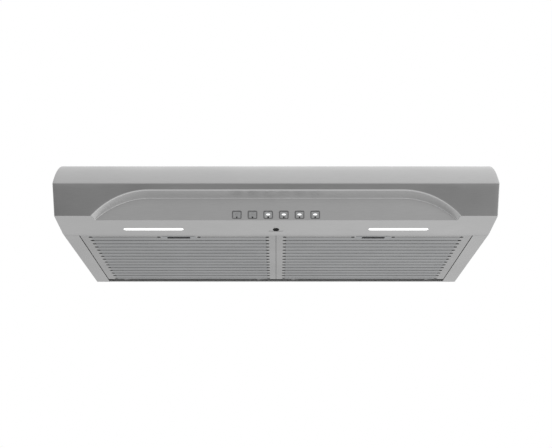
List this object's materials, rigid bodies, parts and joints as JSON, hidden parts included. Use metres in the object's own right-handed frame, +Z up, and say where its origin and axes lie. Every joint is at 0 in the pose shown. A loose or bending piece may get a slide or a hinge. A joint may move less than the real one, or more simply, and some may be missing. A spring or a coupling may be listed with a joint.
{
  "type": "under cabinet range hood",
  "caption": "Slim under cabinet range hood with a rounded steel front, a recessed push-button panel, lamps, drop-down grease filters and a blower under a damped duct collar.",
  "frame": {"origin": "centre of the four cabinet screw holes, on the roof's top face", "axes": "+X to the right seen from the front, -Y to the front, +Z up out of the roof"},
  "size_m": [0.76, 0.5, 0.1654],
  "materials": {
    "canopy_steel": "brushed along the width, satin",
    "galvanised_steel": "dull zinc coat",
    "dark_rail": "dark, satin paint",
    "boss_metal": "satin",
    "boss_plug_rubber": "matte",
    "lamp_lens": "milky diffuser, lit",
    "lamp_tray_plastic": "matte",
    "led_board": "white lacquered board",
    "driver_case": "matte",
    "bezel_plastic": "fine grain",
    "switch_plastic": "matte",
    "switch_board": "green lacquered board",
    "button_grey": "satin",
    "button_lit": "satin, with a bright white centre",
    "filter_face_steel": "brushed along the slots",
    "filter_frame_steel": "satin",
    "filter_mesh": "expanded mesh, dull",
    "latch_plastic": "fine grain",
    "latch_rim": "satin, slightly blue",
    "spring_steel": "bright wire",
    "pin_steel": "turned",
    "inlet_ring_plastic": "matte",
    "wheel_plastic": "moulded",
    "motor_case": "painted",
    "capacitor_case": "satin",
    "duct_steel": "zinc coat",
    "damper_metal": "dull",
    "gland_plastic": "matte",
    "terminal_plastic": "matte",
    "lead_insulation": "satin sheath",
    "screw_steel": "zinc plated"
  },
  "bodies": {
    "canopy": {"roof_panel": "canopy_steel", "side_panel_left": "canopy_steel", "side_panel_right": "canopy_steel", "rear_panel": "canopy_steel", "front_fascia": "canopy_steel", "light_panel": "canopy_steel", "filter_rear_rail": "dark_rail", "rear_outlet_cover": "galvanised_steel", "boss_plate": "boss_metal", "boss_plug": "boss_plug_rubber", "lamp_lens_left": "lamp_lens", "lamp_lens_right": "lamp_lens", "lamp_tray_left": "lamp_tray_plastic", "lamp_tray_right": "lamp_tray_plastic", "led_board_left": "led_board", "led_board_right": "led_board", "led_driver": "driver_case", "button_bezel": "bezel_plastic", "switch_block": "switch_plastic", "switch_board": "switch_board", "hinge_pins": "pin_steel", "blower_top_plate": "galvanised_steel", "scroll_wall": "galvanised_steel", "inlet_plate": "galvanised_steel", "inlet_ring": "inlet_ring_plastic", "motor": "motor_case", "capacitor": "capacitor_case", "duct_collar": "duct_steel", "damper_pin": "pin_steel", "junction_box": "galvanised_steel", "junction_cover": "galvanised_steel", "cable_gland": "gland_plastic", "terminal_block": "terminal_plastic", "wiring_leads": "lead_insulation", "shell_screws": "screw_steel", "blower_screws": "screw_steel", "cover_screws": "screw_steel"},
    "lamp_button": {"button_lamp": "button_grey"},
    "stop_button": {"button_stop": "button_grey"},
    "low_button": {"button_low": "button_lit"},
    "medium_button": {"button_medium": "button_lit"},
    "high_button": {"button_high": "button_lit"},
    "boost_button": {"button_boost": "button_lit"},
    "filter_left": {"filter_face_left": "filter_face_steel", "filter_frame_left": "filter_frame_steel", "filter_mesh_left": "filter_mesh", "latch_bezel_left": "latch_rim", "latch_spring_left": "spring_steel"},
    "filter_right": {"filter_face_right": "filter_face_steel", "filter_frame_right": "filter_frame_steel", "filter_mesh_right": "filter_mesh", "latch_bezel_right": "latch_rim", "latch_spring_right": "spring_steel"},
    "latch_slider_left": {"latch_left": "latch_plastic"},
    "latch_slider_right": {"latch_right": "latch_plastic"},
    "fan": {"blower_wheel": "wheel_plastic", "wheel_nut": "pin_steel", "motor_shaft": "pin_steel"},
    "damper_front": {"damper_flap_front": "damper_metal"},
    "damper_rear": {"damper_flap_rear": "damper_metal"}
  },
  "joints": [
    {"name": "lamp_press", "type": "slide", "parent": "canopy", "child": "lamp_button", "axis": [0, 0.9449, 0.3272], "range_m": [0, 0.0025], "stiffness_N_per_m": 300, "springref_m": -0.0015},
    {"name": "stop_press", "type": "slide", "parent": "canopy", "child": "stop_button", "axis": [0, 0.9449, 0.3272], "range_m": [0, 0.0025], "stiffness_N_per_m": 300, "springref_m": -0.0015},
    {"name": "low_press", "type": "slide", "parent": "canopy", "child": "low_button", "axis": [0, 0.9449, 0.3272], "range_m": [0, 0.0025], "stiffness_N_per_m": 300, "springref_m": -0.0015},
    {"name": "medium_press", "type": "slide", "parent": "canopy", "child": "medium_button", "axis": [0, 0.9449, 0.3272], "range_m": [0, 0.0025], "stiffness_N_per_m": 300, "springref_m": -0.0015},
    {"name": "high_press", "type": "slide", "parent": "canopy", "child": "high_button", "axis": [0, 0.9449, 0.3272], "range_m": [0, 0.0025], "stiffness_N_per_m": 300, "springref_m": -0.0015},
    {"name": "boost_press", "type": "slide", "parent": "canopy", "child": "boost_button", "axis": [0, 0.9449, 0.3272], "range_m": [0, 0.0025], "stiffness_N_per_m": 300, "springref_m": -0.0015},
    {"name": "filter_left_swing", "type": "hinge", "parent": "canopy", "child": "filter_left", "pos_m": [-0.17605, 0.143, -0.1172], "axis": [1, 0, 0], "range_deg": [0, 70]},
    {"name": "latch_left_pull", "type": "slide", "parent": "filter_left", "child": "latch_slider_left", "axis": [0, 1, 0], "range_m": [0, 0.006], "stiffness_N_per_m": 250, "springref_m": -0.004, "deforming": ["latch_spring_left"]},
    {"name": "filter_right_swing", "type": "hinge", "parent": "canopy", "child": "filter_right", "pos_m": [0.17605, 0.143, -0.1172], "axis": [1, 0, 0], "range_deg": [0, 70]},
    {"name": "latch_right_pull", "type": "slide", "parent": "filter_right", "child": "latch_slider_right", "axis": [0, 1, 0], "range_m": [0, 0.006], "stiffness_N_per_m": 250, "springref_m": -0.004, "deforming": ["latch_spring_right"]},
    {"name": "fan_spin", "type": "hinge", "parent": "canopy", "child": "fan", "pos_m": [-0.055, -0.1, -0.05], "axis": [0, 0, 1], "continuous": true},
    {"name": "damper_front_lift", "type": "hinge", "parent": "canopy", "child": "damper_front", "pos_m": [0, 0.08, 0.019], "axis": [-1, 0, 0], "range_deg": [0, 75]},
    {"name": "damper_rear_lift", "type": "hinge", "parent": "canopy", "child": "damper_rear", "pos_m": [0, 0.08, 0.019], "axis": [1, 0, 0], "range_deg": [0, 75]}
  ]
}
